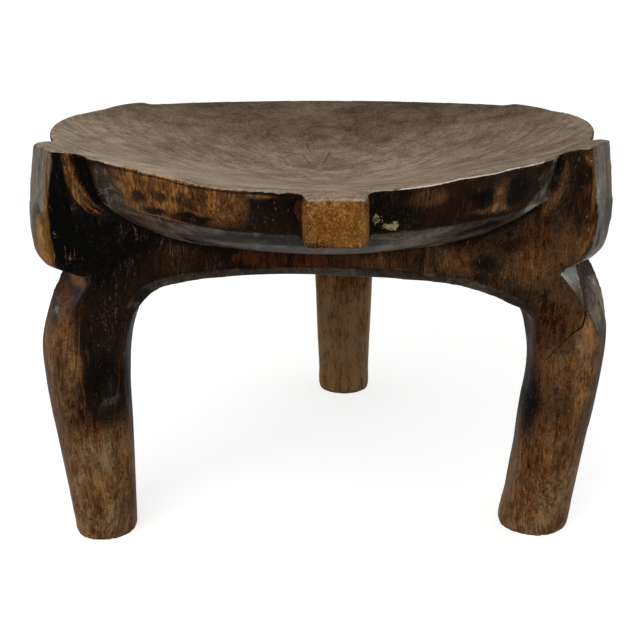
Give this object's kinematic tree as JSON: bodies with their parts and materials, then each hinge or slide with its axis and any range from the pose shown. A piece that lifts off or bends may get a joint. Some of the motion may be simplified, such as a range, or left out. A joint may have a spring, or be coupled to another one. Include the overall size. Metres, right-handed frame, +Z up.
{
  "type": "three-legged stool",
  "caption": "Low carved wooden stool with a round dished seat, a triangular underbody with corner lugs, rim tabs and stout kneed legs, for sitting close to the ground.",
  "frame": {"origin": "on the floor, under the middle of the stool's bounding box", "axes": "+Z up; -Y is the front, between the left and the right leg; +X to the right seen from the front"},
  "size_m": [0.3056, 0.3346, 0.2204],
  "materials": {
    "seat_wood": "worn grey-brown satin",
    "hub_wood": "near-black polished patina",
    "leg_wood": "dark brown patina, rubbed",
    "lug_wood": "dark brown patina, worn edges",
    "tab_wood": "worn orange-brown end grain"
  },
  "bodies": {
    "root": {"seat": "seat_wood", "hub": "hub_wood", "leg_left": "leg_wood", "leg_right": "leg_wood", "leg_back": "leg_wood", "lug_left": "lug_wood", "lug_right": "lug_wood", "lug_back": "lug_wood", "tab_front": "tab_wood", "tab_back_left": "tab_wood", "tab_back_right": "tab_wood"}
  },
  "joints": []
}
